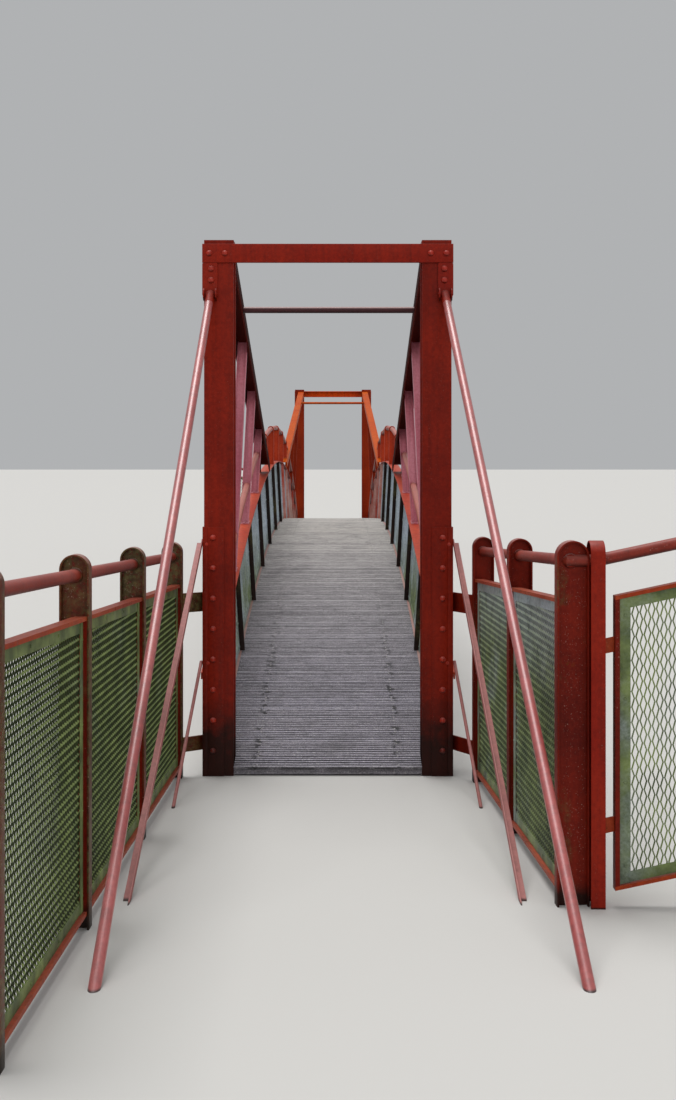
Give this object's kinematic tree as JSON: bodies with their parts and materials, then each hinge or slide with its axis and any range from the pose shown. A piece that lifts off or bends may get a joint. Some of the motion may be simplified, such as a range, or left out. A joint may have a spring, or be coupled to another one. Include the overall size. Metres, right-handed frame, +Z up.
{
  "type": "footbridge",
  "caption": "Narrow humped steel footbridge: red portal towers, straight suspension beams with hangers, ground stays, handrails, mesh screens, timber deck and splayed fences.",
  "frame": {"origin": "on the ground at mid-span, midway between the towers", "axes": "+Z up, +Y along the bridge from the near tower to the far tower, +X to the right for someone who crosses that way"},
  "size_m": [3.984, 22.7352, 2.68],
  "materials": {
    "red_paint": "weathered satin paint",
    "orange_paint": "satin paint, sun-lit orange red",
    "stay_paint": "satin paint, chalky",
    "galvanised_mesh": "weathered galvanised, moss-stained",
    "timber": "grooved, silver-grey, damp"
  },
  "bodies": {
    "root": {"deck_boards": "timber", "deck_frame": "red_paint", "far_bank_fence_panel": "galvanised_mesh", "far_crossbeam": "red_paint", "far_left_fence_frame": "red_paint", "far_left_fence_panel_1": "galvanised_mesh", "far_left_fence_panel_2": "galvanised_mesh", "far_left_leg": "red_paint", "far_left_leg_angle": "red_paint", "far_left_main_stay": "stay_paint", "far_left_middle_stay": "stay_paint", "far_left_short_stay": "stay_paint", "far_left_stay_bracket": "red_paint", "far_left_suspension_beam": "red_paint", "far_right_fence_frame": "red_paint", "far_right_fence_panel_1": "galvanised_mesh", "far_right_fence_panel_2": "galvanised_mesh", "far_right_fence_panel_3": "galvanised_mesh", "far_right_leg": "red_paint", "far_right_leg_angle": "red_paint", "far_right_main_stay": "stay_paint", "far_right_middle_stay": "stay_paint", "far_right_short_stay": "stay_paint", "far_right_stay_bracket": "red_paint", "far_right_suspension_beam": "red_paint", "far_tie_rod": "red_paint", "left_handrail": "orange_paint", "left_mesh_screen": "galvanised_mesh", "left_top_rail": "orange_paint", "near_bank_fence_panel": "galvanised_mesh", "near_crossbeam": "red_paint", "near_left_fence_frame": "red_paint", "near_left_fence_panel_1": "galvanised_mesh", "near_left_fence_panel_2": "galvanised_mesh", "near_left_fence_panel_3": "galvanised_mesh", "near_left_leg": "red_paint", "near_left_leg_angle": "red_paint", "near_left_main_stay": "stay_paint", "near_left_middle_stay": "stay_paint", "near_left_short_stay": "stay_paint", "near_left_stay_bracket": "red_paint", "near_left_suspension_beam": "red_paint", "near_right_fence_frame": "red_paint", "near_right_fence_panel_1": "galvanised_mesh", "near_right_fence_panel_2": "galvanised_mesh", "near_right_leg": "red_paint", "near_right_leg_angle": "red_paint", "near_right_main_stay": "stay_paint", "near_right_middle_stay": "stay_paint", "near_right_short_stay": "stay_paint", "near_right_stay_bracket": "red_paint", "near_right_suspension_beam": "red_paint", "near_tie_rod": "red_paint", "right_handrail": "orange_paint", "right_mesh_screen": "galvanised_mesh", "right_top_rail": "orange_paint"}
  },
  "joints": []
}
